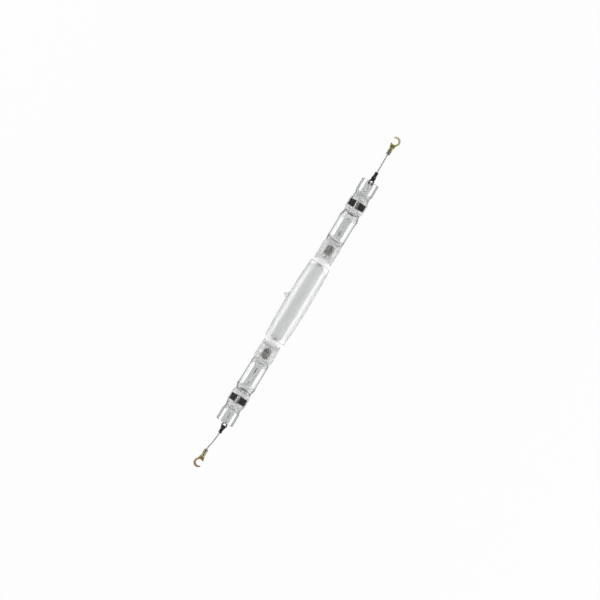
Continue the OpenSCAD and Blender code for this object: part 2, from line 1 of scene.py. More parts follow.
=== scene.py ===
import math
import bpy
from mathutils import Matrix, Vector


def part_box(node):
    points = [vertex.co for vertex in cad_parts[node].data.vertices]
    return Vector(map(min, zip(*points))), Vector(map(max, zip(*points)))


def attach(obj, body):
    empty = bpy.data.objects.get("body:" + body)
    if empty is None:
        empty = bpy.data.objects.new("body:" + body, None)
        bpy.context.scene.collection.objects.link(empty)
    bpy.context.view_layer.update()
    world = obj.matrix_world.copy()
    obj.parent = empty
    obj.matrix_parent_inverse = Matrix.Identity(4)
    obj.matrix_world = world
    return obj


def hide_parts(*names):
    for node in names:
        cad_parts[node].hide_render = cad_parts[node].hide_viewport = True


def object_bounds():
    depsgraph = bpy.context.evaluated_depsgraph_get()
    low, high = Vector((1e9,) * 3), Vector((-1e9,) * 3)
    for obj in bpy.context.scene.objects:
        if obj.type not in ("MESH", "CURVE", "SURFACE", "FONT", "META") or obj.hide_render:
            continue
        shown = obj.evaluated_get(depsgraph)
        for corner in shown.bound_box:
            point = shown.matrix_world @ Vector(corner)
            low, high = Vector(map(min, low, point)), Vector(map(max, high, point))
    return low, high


bl_info = {
    "name": "Double-ended metal halide lamp",
    "version": (1, 0, 0),
    "blender": (4, 5, 0),
    "location": "View3D > Sidebar > Lamp",
    "description": "Quartz, foils, rods, terminals, leads and hook lugs of a double-ended metal halide lamp",
    "category": "Add Mesh",
}

import bpy
import numpy as np
from mathutils import Matrix, Vector

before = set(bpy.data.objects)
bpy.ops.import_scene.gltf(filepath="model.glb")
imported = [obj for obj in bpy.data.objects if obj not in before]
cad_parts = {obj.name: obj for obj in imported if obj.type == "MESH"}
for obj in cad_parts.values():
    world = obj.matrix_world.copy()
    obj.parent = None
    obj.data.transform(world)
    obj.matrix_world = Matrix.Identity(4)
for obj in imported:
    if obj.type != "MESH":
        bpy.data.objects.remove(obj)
CAD_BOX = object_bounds()

MM = 0.001
ENDS = ("left", "right")

# Places along one end of the lamp, outwards from its middle, in millimetres
BULB_X = 53.0
SHOULDER_X = 62.0
INNER_FLAT = (68.5, 86.5)
NECK = (92.0, 131.0)
OUTER_FLAT = (138.5, 156.0)
SLEEVE_SPACE_X = 161.5
MOUTH_X = 182.0
INNER_MID = 78.3
OUTER_MID = 147.25
FERRULE_X = 103.6
HOOK_HOLE_X = 243.5

# Outside of the quartz beyond the shoulder: place and radius
STATIONS = (
    (62.0, 11.7), (68.5, 12.5), (74.8, 12.5), (83.44, 13.0), (90.25, 11.6), (94.5, 12.15), (119.16, 12.15),
    (128.04, 12.65), (133.6, 11.15), (142.35, 12.8), (151.1, 12.8), (161.1, 10.7), (166.0, 12.2), (182.0, 12.2),
)

# Each end's ring centre, and its row of lead points: outwards from the mouth, and sideways
RING_OUT = {"left": 3.5, "right": 0.0}
RING_Y = {"left": 2.0, "right": -0.5}
HOOK_Y = {"left": -1.2, "right": 0.0}
LEAD_OUT = (9, 12, 15, 18, 21, 24, 27, 30, 33, 36, 39, 42, 45, 48, 51, 53.5)
LEAD_SIDE = {
    "left": (2, 2, 2, 1.8, 1.6, 1.3, 0.9, 0.5, 0, -0.6, -1.1, -1.2, -1.2, -1.2, -1.2, -1.2),
    "right": (-0.5, -0.5, -0.5, -0.5, -0.4, -0.4, -0.3, -0.3, -0.2, -0.1, 0, 0, 0, 0, 0, 0),
}
LEAD_D = 1.7


# ---------------------------------------------------------------- surfaces

def turned_to(points, end):
    """Points of the left end are the right end's turned half round Z: x and y change sign."""
    return points * np.array([-1.0, -1.0, 1.0]) if end == "left" else points


def patch(grid, round_rows=False, hollow=False, shade=None):
    """Closed surface on a grid of rows and columns. The columns always join up. The rows join up too, or each end
    row is closed by a point at its mean. The enclosed volume's sign turns the faces outwards, or inwards if hollow.
    The shade is one number for each point, which a material can read."""
    rows, cols = grid.shape[:2]
    number = np.arange(rows * cols).reshape(rows, cols)
    beside = np.roll(number, -1, axis=1)
    if round_rows:
        ahead, ahead_beside = np.roll(number, -1, axis=0), np.roll(beside, -1, axis=0)
        quads = np.stack([number, ahead, ahead_beside, beside], axis=-1).reshape(-1, 4)
        points, tris = grid.reshape(-1, 3), np.zeros((0, 3), int)
    else:
        quads = np.stack([number[:-1], number[1:], beside[1:], beside[:-1]], axis=-1).reshape(-1, 4)
        first, last = rows * cols, rows * cols + 1
        points = np.vstack([grid.reshape(-1, 3), grid[0].mean(0), grid[-1].mean(0)])
        tris = np.vstack([
            np.stack([np.full(cols, first), number[0], beside[0]], axis=-1),
            np.stack([np.full(cols, last), beside[-1], number[-1]], axis=-1),
        ])
    every = np.vstack([quads[:, [0, 1, 2]], quads[:, [0, 2, 3]], tris])
    a, b, c = points[every[:, 0]], points[every[:, 1]], points[every[:, 2]]
    volume = np.einsum("ij,ij->i", a, np.cross(b, c)).sum()
    if (volume < 0) != hollow:
        quads, tris = quads[:, ::-1], tris[:, ::-1]
    marks = np.zeros(len(points))
    if shade is not None:
        marks[:rows * cols] = np.broadcast_to(shade, (rows, cols)).reshape(-1)
    return points, quads, tris, marks


def make_piece(name, patches, material, nodes, sharp=None):
    """One object from several closed surfaces in millimetres, which rides on the lamp and stands for its nodes."""
    points, shades, faces, start = [], [], [], 0
    for verts, quads, tris, marks in patches:
        points.append(verts)
        shades.append(marks)
        faces += (quads + start).tolist() + (tris + start).tolist()
        start += len(verts)
    mesh = bpy.data.meshes.new(name)
    mesh.from_pydata((np.vstack(points) * MM).tolist(), [], faces)
    mesh.attributes.new("shade", "FLOAT", "POINT").data.foreach_set("value", np.concatenate(shades))
    mesh.polygons.foreach_set("use_smooth", np.ones(len(mesh.polygons), bool))
    if sharp is not None:
        mesh.set_sharp_from_angle(angle=math.radians(sharp))
    mesh.update()
    piece = bpy.data.objects.new(name, mesh)
    bpy.context.scene.collection.objects.link(piece)
    mesh.materials.append(material)
    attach(piece, "root")
    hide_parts(*nodes)
    return piece


def circle(count):
    """Angles of a full turn, without the last one."""
    return np.arange(count) * 2 * np.pi / count


def turned(profile, count=48, centre=(0.0, 0.0)):
    """Surface of revolution about a line along X: (x, r) becomes (x, y0 + r cos a, z0 + r sin a)."""
    profile, angle = np.asarray(profile, float), circle(count)
    x = np.repeat(profile[:, :1], count, axis=1)
    r = profile[:, 1:2]
    return np.stack([x, centre[0] + r * np.cos(angle), centre[1] + r * np.sin(angle)], axis=-1)


def swept(path, wide, high, count=32, power=2.0):
    """Section of half width w and half height h carried along a path close to X: side c|c|^(2/p-1) w, up
    s|s|^(2/p-1) h, with c and s the cosine and sine round the section."""
    path, angle = np.asarray(path, float), circle(count)
    along = np.gradient(path, axis=0)
    side = np.cross([0.0, 0.0, 1.0], along)
    side /= np.linalg.norm(side, axis=1, keepdims=True)
    up = np.cross(along, side)
    up /= np.linalg.norm(up, axis=1, keepdims=True)
    c, s = np.cos(angle), np.sin(angle)
    c, s = np.sign(c) * np.abs(c) ** (2 / power), np.sign(s) * np.abs(s) ** (2 / power)
    wide, high = np.broadcast_to(wide, len(path)), np.broadcast_to(high, len(path))
    return (path[:, None] + side[:, None] * (wide[:, None] * c)[..., None]
            + up[:, None] * (high[:, None] * s)[..., None])


def bar(x0, x1, r, ease=0.15, count=40):
    """Round bar along the axis with softly rounded ends."""
    return turned([(x0, r - ease), (x0 + ease, r), (x1 - ease, r), (x1, r - ease)], count)


def mottle(x, y, size, seed):
    """Sum of twelve plane waves about a size in millimetres apart, in fixed pseudo-random directions, from -1 to 1."""
    total = 0.0
    for k in range(12):
        way = 2.399963 * (k + seed)
        rate = 2 * np.pi / (size * (0.75 + 0.09 * k))
        total = total + np.sin(rate * (x * math.cos(way) + y * math.sin(way)) + 1.7 * k * seed + k)
    return total / 5.0


def smooth_min(a, b, k):
    """Smaller of two heights, blended over a band of width k."""
    h = np.clip(0.5 + 0.5 * (b - a) / k, 0, 1)
    return b * (1 - h) + a * h - k * h * (1 - h)


# ---------------------------------------------------------------- quartz

def outside_radius(x):
    """Radius of the quartz as blown: a shallow parabola on the barrel, a parabola on the shoulder, cosine steps
    between the stations beyond it."""
    x = np.abs(x)
    places, radii = np.array(STATIONS).T
    k = np.clip(np.searchsorted(places, x, side="right") - 1, 0, len(places) - 2)
    t = np.clip((x - places[k]) / (places[k + 1] - places[k]), 0, 1)
    beyond = radii[k] + (radii[k + 1] - radii[k]) * (1 - np.cos(np.pi * t)) / 2
    s = (x - BULB_X) / (SHOULDER_X - BULB_X)
    return np.where(x <= BULB_X, 16.1 - 1.45 * (x / BULB_X) ** 2,
                    np.where(x <= SHOULDER_X, 11.7 + 2.95 * (1 - s ** 2), beyond))


def press_height(x, y):
    """Half height that the press leaves: 3 on a flat, rising as 15.1 (d/9.634)^2 beyond its ends, with a round
    bead of radius 4 along each edge."""
    x = np.abs(x)
    height = np.full(np.broadcast(x, y).shape, 1e3)
    for (x0, x1), bead_y in ((INNER_FLAT, 9.8), (OUTER_FLAT, 10.1)):
        d = np.maximum(np.maximum(x0 - x, x - x1), 0)
        flat = 3 + 15.1 * (d / 9.634) ** 2
        bead = np.sqrt(np.clip(16 - (np.abs(y) - bead_y) ** 2, 0, None)) - 0.22 * np.clip(d - 2.0, 0, None) ** 2
        here = -smooth_min(-flat, -bead, 0.5)
        height = np.minimum(height, here)
    return height


def tip_rise(x, z, reach, rise, nose):
    """Height of the sealed-off tip over the barrel at a distance from its middle: a rounded nose, a cone, a
    fillet."""
    d = np.hypot(x - 1.3, z)
    slope = (reach - nose) / 4
    return np.interp(d, [0, nose * 0.45, nose * 0.8, nose, nose + slope, nose + 2 * slope, reach - slope * 0.6,
                         reach, reach + 0.9],
                     [rise, rise * 0.98, rise * 0.92, rise * 0.8, rise * 0.58, rise * 0.36, rise * 0.16, rise * 0.05, 0])


def quartz_skin(x, angle, grow=0.0, rough=0.0):
    """Pressed outside at places x and angles a: y = r cos a, and z = r sin a held down to the press height."""
    r = outside_radius(x) + grow
    y, z0 = r * np.cos(angle), r * np.sin(angle)
    height = press_height(x, y) + grow
    pressed = 1 / (1 + np.exp((height - np.abs(z0)) / 0.4))
    z = smooth_min(np.abs(z0), height, 0.7)
    z = z - rough * pressed * (0.5 + 0.5 * mottle(x, y, 2.6, 3)) * np.clip(np.abs(z0) / 3, 0, 1)
    return np.stack([np.broadcast_to(x, y.shape), y, np.sign(z0) * np.maximum(z, 0)], axis=-1)


def steps(*runs):
    """Places of several runs, each (first, last, step), without repeats."""
    return np.unique(np.round(np.concatenate([np.arange(a, b + s / 2, s) for a, b, s in runs]), 4))


def envelope_patches(rough):
    """Skin of the whole envelope, from the bottom of one sleeve's space out round its mouth and back into the
    other, and the three closed spaces inside it."""
    half = steps((0, 6, 0.4), (7, 52, 1.5), (53, 64, 0.9), (64.6, 96, 0.6), (98, 126, 2), (127, 171, 0.6), (173, 180, 2))
    x = np.concatenate([-half[::-1], half[1:]])[:, None]
    squeeze = 0.62 * np.exp(-((x - 1.3) / 11) ** 2)
    even = circle(128)[None]
    angle = even - squeeze * np.sin(even)
    skin = quartz_skin(x, angle, rough=rough)
    top = np.cos(angle) > 0
    skin[..., 1] += np.where(top, tip_rise(skin[..., 0], skin[..., 2], 3.5, 5.7, 1.3), 0)
    a = np.linspace(90, -90, 7)
    t = np.linspace(1, 0.04, 9)
    turn = np.radians(a)
    inward = np.vstack([
        np.stack([181.2 + 0.8 * np.cos(turn), 11.4 + 0.8 * np.sin(turn)], axis=-1),
        np.stack([np.linspace(178, 167, 5), np.full(5, 10.6)], axis=-1),
        np.stack([SLEEVE_SPACE_X + 4 * (1 - np.sqrt(1 - t ** 2)), 10.6 * t], axis=-1),
    ])
    right = turned(inward, 128)
    left = (right * np.array([-1, 1, 1]))[::-1]
    patches = [patch(np.concatenate([left, skin, right]))]

    s = np.linspace(0, 1, 14)[1:]
    dome = np.stack([BULB_X + 10.5 * s, 12.45 * np.sqrt(np.clip(1 - s ** 2, 0.0012, None))], axis=-1)
    places = steps((0, 6, 0.4), (7, 52, 2.5), (53, 53, 1))
    arc = np.vstack([np.stack([places, 13.9 - 1.45 * (places / BULB_X) ** 2], axis=-1), dome])
    arc = np.vstack([(arc * [-1, 1])[:0:-1], arc])
    place, radius = arc[:, :1], arc[:, 1:]
    inner = circle(96)[None] - 0.62 * np.exp(-((place - 1.3) / 11) ** 2) * np.sin(circle(96)[None])
    space = np.stack([np.broadcast_to(place, inner.shape), radius * np.cos(inner), radius * np.sin(inner)], axis=-1)
    space[..., 1] += np.where(np.cos(inner) > 0, tip_rise(space[..., 0], space[..., 2], 2.6, 6.1, 0.85), 0)
    patches.append(patch(space, hollow=True, shade=1.0))

    t = np.linspace(0.04, 1, 9)
    near = np.stack([NECK[0] + 4 * (1 - np.sqrt(1 - t ** 2)), 10.55 * t], axis=-1)
    far = np.stack([NECK[1] - 4 * (1 - np.sqrt(1 - t ** 2)), 10.55 * t], axis=-1)[::-1]
    tube = np.vstack([near, np.stack([np.linspace(99, 124, 11), np.full(11, 10.55)], axis=-1), far])
    patches += [patch(turned_to(turned(tube, 96), end), hollow=True, shade=1.0) for end in ENDS]
    return patches


def coat_patch(end):
    """White coat: a thin shell over the skin from a ragged edge on the barrel to a bowed edge on the seal."""
    angle = circle(128)[None]
    bowed = 48.4 + np.sqrt(17.0 ** 2 - (11.9 * np.cos(angle)) ** 2) + 0.10 * mottle(9 * angle, 0, 3.0, 5)
    ragged = 55.5 + 0.16 * mottle(11 * angle, 0, 2.2, 2)
    s = np.linspace(0, 1, 22)[:, None]
    x = ragged + (bowed - ragged) * s
    over = quartz_skin(x, angle, grow=0.20)
    under = quartz_skin(x, angle, grow=0.02)
    fade = 0.75 * np.clip((s - 0.88) / 0.12, 0, 1)
    return patch(turned_to(np.concatenate([over, under[::-1]]), end), round_rows=True,
                 shade=np.concatenate([fade, fade[::-1]]))


# ---------------------------------------------------------------- metal parts

def sheet_strip(x0, x1, width, thick, wave, seed, rows=60, count=80):
    """Thin crinkled foil: a flat loop carried along X, lifted everywhere by the mottle times the wave height."""
    x = np.linspace(x0, x1, rows)[:, None]
    angle = circle(count)[None]
    y = width / 2 * np.sign(np.cos(angle)) * np.abs(np.cos(angle)) ** 0.6
    lift = wave * mottle(x, y, 3.1, seed)
    z = thick / 2 * np.sign(np.sin(angle)) * np.abs(np.sin(angle)) ** 0.3 + lift
    return np.stack([np.broadcast_to(x, z.shape), np.broadcast_to(y, z.shape), z], axis=-1)


def strap_grid(mid, length, width, thick, seam_y=0.0):
    """Folded strap: a flattened tube with round edges, nipped near both ends. Its lapped seam runs along the top:
    the height falls by d over a slope, after a narrow groove g exp(-((y - y0)/w)^2)."""
    x = np.linspace(mid - length / 2, mid + length / 2, 60)
    nip = 1 - 0.10 * np.exp(-((np.abs(x - mid) - length / 2 + 1.2) / 0.5) ** 2)
    path = np.stack([x, 0 * x, 0 * x], axis=-1)
    grid = swept(path, width / 2 * (0.96 + 0.04 * nip), thick / 2 * nip, 96, 2.8)
    y, z = grid[..., 1], grid[..., 2]
    lap = 1 / (1 + np.exp((y - seam_y - 0.15) / 0.16))
    groove = np.exp(-((y - seam_y + 0.75) / 0.28) ** 2)
    top = np.clip(z / thick * 4 - 0.6, 0, 1)
    grid[..., 2] = z - top * (0.34 * (1 - lap) + 0.28 * groove)
    # painted shade: the groove beside the seam, on the top only, is returned as the mask that the material paints dark
    return grid, groove * top


def coil_grid():
    """Helix x = x0 + p a, r (cos a, sin a), with a round wire section carried round it."""
    turns, pitch, mean_r, wire_r = 5, 0.954, 1.4, 0.44
    a = np.linspace(0, 2 * np.pi * turns, turns * 28)
    centre = np.stack([55.65 + pitch * a / (2 * np.pi), mean_r * np.cos(a), mean_r * np.sin(a)], axis=-1)
    out = np.stack([0 * a, np.cos(a), np.sin(a)], axis=-1)
    along = np.gradient(centre, axis=0)
    other = np.cross(along, out)
    other /= np.linalg.norm(other, axis=1, keepdims=True)
    w = circle(12)
    return centre[:, None] + wire_r * (out[:, None] * np.cos(w)[:, None] + other[:, None] * np.sin(w)[:, None])


def barrel_grid(x0, length, outer_r, slant, grooves, depth, y0):
    """Crimped barrel: r = R - depth exp(-((x - xk - y tan(slant))/w)^2) for each groove, with a rolled seam on
    top, rounded ends and a bore for the lead."""
    angle = circle(72)[None]
    x = np.linspace(x0 + 0.3, x0 + length - 0.3, 64)[:, None]
    y = outer_r * np.cos(angle)
    r = np.full(np.broadcast(x, y).shape, outer_r)
    dark = np.zeros(r.shape)
    for k in range(1, grooves + 1):
        middle = x0 + length * k / (grooves + 1) + y * math.tan(math.radians(slant))
        groove = np.exp(-((x - middle) / 0.5) ** 2)
        # painted shade: each crimp groove is marked dark in this mask
        r, dark = r - depth * groove, np.maximum(dark, groove)
    seam = (angle - np.pi / 2) * outer_r
    r = r - 0.35 * np.exp(-(seam / 0.22) ** 2)
    outer = np.stack([np.broadcast_to(x, r.shape), y0 + r * np.cos(angle), r * np.sin(angle)], axis=-1)
    bore = LEAD_D / 2 + 0.08
    rings = turned([(x0 + length, outer_r - 0.35), (x0 + length, bore), (x0, bore), (x0, outer_r - 0.35)], 72, (y0, 0))
    # painted shade: the end faces and the bore are marked fully dark
    return np.concatenate([outer, rings]), np.concatenate([dark, np.ones((4, 72))])


def scoop_grid(x0, way, outer_r, thick, far_half, y0):
    """Sheet that unrolls from the barrel to the flat lug: an arc of curvature k = (1 - s)^1.3 / R over a half
    length w(s), so side = sin(k u)/k and up = (1 - cos(k u))/k, with its thickness along the arc's normal."""
    s = np.linspace(0, 1, 26)[:, None]
    mid_r = outer_r - thick / 2
    curve = np.maximum((1 - s) ** 1.3, 0.01) / mid_r
    half = mid_r * 2.2 + (far_half - mid_r * 2.2) * s ** 0.7
    angle = circle(56)[None]
    u = half * np.sign(np.cos(angle)) * np.abs(np.cos(angle)) ** 0.6
    off = thick / 2 * np.sign(np.sin(angle)) * np.abs(np.sin(angle)) ** 0.35
    y = np.sin(curve * u) / curve - off * np.sin(curve * u)
    z = -mid_r + (1 - np.cos(curve * u)) / curve + off * np.cos(curve * u)
    x = np.broadcast_to(x0 + way * (-0.6 + 4.8 * s), y.shape)
    return np.stack([x, y0 + y, z], axis=-1)


def reach_of_outline(angle, corners):
    """Distance from the origin to a closed outline round it, in each direction."""
    far = np.zeros_like(angle)
    dx, dy = np.cos(angle), np.sin(angle)
    for (ax, ay), (bx, by) in zip(corners, corners[1:] + corners[:1]):
        ex, ey = bx - ax, by - ay
        cross = dx * ey - dy * ex
        safe = np.where(np.abs(cross) < 1e-9, 1e-9, cross)
        t, s = (ax * ey - ay * ex) / safe, (ax * dy - ay * dx) / safe
        far = np.where((s >= 0) & (s <= 1) & (t > far), t, far)
    return far


def softened(values, width, wraps):
    """Moving mean with a bell-shaped weight."""
    k = np.arange(-3 * width, 3 * width + 1)
    weight = np.exp(-(k / width) ** 2)
    padded = np.pad(values, 3 * width, mode="wrap" if wraps else "edge")
    return np.convolve(padded, weight / weight.sum(), mode="valid")


def lug_plate(centre, hole_r, outer_r, offset, corners, z0, thick, opening=None):
    """Flat ring or hook round a hole: in each direction the plate runs from the hole out to the further of a
    circle set off from the hole and the neck's outline, with a rounded section across it."""
    if opening is None:
        angle = circle(300)
    else:
        angle = np.radians(np.linspace(opening[1], opening[0] + 360, 260))
    side = offset[0] * np.sin(angle) - offset[1] * np.cos(angle)
    ahead = offset[0] * np.cos(angle) + offset[1] * np.sin(angle)
    outer = ahead + np.sqrt(np.clip(outer_r ** 2 - side ** 2, 0.01, None))
    outer = softened(np.maximum(outer, reach_of_outline(angle, corners)), 3, opening is None)
    if opening is not None:
        edge = np.minimum(angle - angle[0], angle[-1] - angle) * hole_r
        round_off = np.sqrt(np.clip(1 - (1 - np.clip(edge / 0.9, 0, 1)) ** 2, 0.02, 1))
    else:
        round_off = np.ones_like(angle)
    w = circle(28)
    c = np.sign(np.cos(w)) * np.abs(np.cos(w)) ** 0.5
    s = np.sign(np.sin(w)) * np.abs(np.sin(w)) ** 0.4
    middle, half = (outer + hole_r) / 2, (outer - hole_r) / 2 * round_off
    r = middle[:, None] + half[:, None] * c
    z = z0 + thick / 2 + thick / 2 * s * np.ones_like(r)
    return np.stack([centre[0] + r * np.cos(angle)[:, None], centre[1] + r * np.sin(angle)[:, None], z], axis=-1)


def lead_path(end, step=0.35):
    """Lead's centreline: its own points joined smoothly, in millimetres."""
    out = np.arange(LEAD_OUT[0], LEAD_OUT[-1] + step / 2, step)
    side = softened(np.interp(out, LEAD_OUT, LEAD_SIDE[end]), 4, False)
    return np.stack([MOUTH_X + out, side, 0 * out], axis=-1)


def strand_grid(end, strands, pitch):
    """Stranded lead: r = R - g (1 - |cos(n (a - 2 pi x / pitch) / 2)|), a rope of n round strands."""
    path = lead_path(end)
    angle = circle(96)[None]
    run = (path[:, 0] - path[0, 0])[:, None]
    lobe = np.abs(np.cos(strands * (angle - 2 * np.pi * run / pitch) / 2))
    r = LEAD_D / 2 - 0.20 * (1 - lobe)
    y, z = path[:, 1:2] + r * np.cos(angle), r * np.sin(angle)
    return np.stack([np.broadcast_to(path[:, :1], y.shape), y, z], axis=-1)


# ---------------------------------------------------------------- materials

class Nodes:
    """Node tree of one material, with short calls for its nodes and links."""

    def __init__(self, name):
        self.material = bpy.data.materials.new(name)
        self.material.use_nodes = True
        self.tree = self.material.node_tree
        self.shader = self.tree.nodes["Principled BSDF"]
        self.place = self.add("ShaderNodeTexCoord").outputs["Object"]

    def add(self, kind, **values):
        node = self.tree.nodes.new(kind)
        for key, value in values.items():
            setattr(node, key, value)
        return node

    def link(self, source, target):
        self.tree.links.new(source, target)

    def noise(self, scale, detail=4.0, rough=0.6, stretch=(1, 1, 1)):
        """Noise on Object coordinates; the scale is in patterns for each metre."""
        mapping = self.add("ShaderNodeMapping")
        mapping.inputs["Scale"].default_value = stretch
        self.link(self.place, mapping.inputs["Vector"])
        node = self.add("ShaderNodeTexNoise")
        node.inputs["Scale"].default_value = scale
        node.inputs["Detail"].default_value = detail
        node.inputs["Roughness"].default_value = rough
        self.link(mapping.outputs["Vector"], node.inputs["Vector"])
        return node.outputs["Fac"]

    def ramp(self, source, stops):
        """Colours or greys along a value: (place, colour) pairs."""
        node = self.add("ShaderNodeValToRGB")
        while len(node.color_ramp.elements) < len(stops):
            node.color_ramp.elements.new(1.0)
        for element, (at, colour) in zip(node.color_ramp.elements, stops):
            element.position = at
            element.color = colour if len(colour) == 4 else (*colour, 1)
        self.link(source, node.inputs["Fac"])
        return node.outputs["Color"]

    def band(self, source, rise, fall):
        """One between two edges: climbs from 0 to 1 over the first pair of places, falls back over the second."""
        return self.sum("MULTIPLY", self.span(source, rise[0], rise[1], 0, 1), self.span(source, fall[0], fall[1], 1, 0))

    def span(self, source, lo, hi, out_lo, out_hi):
        """Value mapped from one range to another, held at its ends."""
        node = self.add("ShaderNodeMapRange")
        for key, value in zip(("From Min", "From Max", "To Min", "To Max"), (lo, hi, out_lo, out_hi)):
            node.inputs[key].default_value = value
        self.link(source, node.inputs["Value"])
        return node.outputs["Result"]

    def axis(self, letter, absolute=False):
        """One Object coordinate, in metres."""
        split = self.add("ShaderNodeSeparateXYZ")
        self.link(self.place, split.inputs[0])
        return self.sum("ABSOLUTE", split.outputs[letter]) if absolute else split.outputs[letter]

    def sum(self, kind, a, b=None):
        """One arithmetic step on values or sockets."""
        node = self.add("ShaderNodeMath", operation=kind)
        for k, value in enumerate((a, b)):
            if isinstance(value, (int, float)):
                node.inputs[k].default_value = value
            elif value is not None:
                self.link(value, node.inputs[k])
        return node.outputs[0]

    def mix(self, share, a, b, kind="MIX"):
        """Two colours mixed by a share; each is a colour or a socket."""
        node = self.add("ShaderNodeMix", data_type="RGBA", blend_type=kind)
        self.link(share, node.inputs[0])
        for socket, value in ((node.inputs[6], a), (node.inputs[7], b)):
            if isinstance(value, tuple):
                socket.default_value = (*value, 1)
            else:
                self.link(value, socket)
        return node.outputs[2]

    def bump(self, height, strength, distance):
        node = self.add("ShaderNodeBump")
        node.inputs["Strength"].default_value = strength
        node.inputs["Distance"].default_value = distance
        self.link(height, node.inputs["Height"])
        self.link(node.outputs["Normal"], self.shader.inputs["Normal"])


def hexed(code):
    """Linear colour from a six-digit code: c/12.92 below 0.04045, else ((c + 0.055)/1.055)^2.4."""
    parts = [int(code[i:i + 2], 16) / 255 for i in (0, 2, 4)]
    return tuple(c / 12.92 if c <= 0.04045 else ((c + 0.055) / 1.055) ** 2.4 for c in parts)


def worn_metal_and_shade(name, dark, light, roughness=(0.25, 0.45), scale=900, metallic=1.0, bump=0.15, stretch=(1, 1, 1), shaded_side=None):
    """Metal whose colour and roughness wander between two limits with a noise, and which is painted dark in its grooves
    as shade and, where two places across the lamp are given, painted black on one side of them as shade."""
    n = Nodes(name)
    cloud = n.noise(scale, stretch=stretch)
    groove = n.add("ShaderNodeAttribute", attribute_name="shade").outputs["Fac"]
    metal_colour = n.ramp(cloud, [(0.35, dark), (0.65, light)])
    # painted shade: where the shade attribute marks a groove, the colour is mixed towards near black
    metal_colour = n.mix(n.span(groove, 0.15, 0.7, 0, 0.9), metal_colour, hexed("191917"))
    if shaded_side:
        # painted shade: the colour is mixed towards black on the low-Y side of the two given places
        wander = n.sum("ADD", n.axis("Y"), n.sum("MULTIPLY", n.sum("SUBTRACT", n.noise(500), 0.5), 0.0016))
        metal_colour = n.mix(n.span(wander, shaded_side[0], shaded_side[1], 0.9, 0), metal_colour, hexed("191917"))
    n.link(metal_colour, n.shader.inputs["Base Color"])
    n.link(n.span(cloud, 0.3, 0.7, roughness[0], roughness[1]), n.shader.inputs["Roughness"])
    n.shader.inputs["Metallic"].default_value = metallic
    n.bump(n.noise(scale * 3, stretch=stretch), bump, 0.0001)
    return n.material


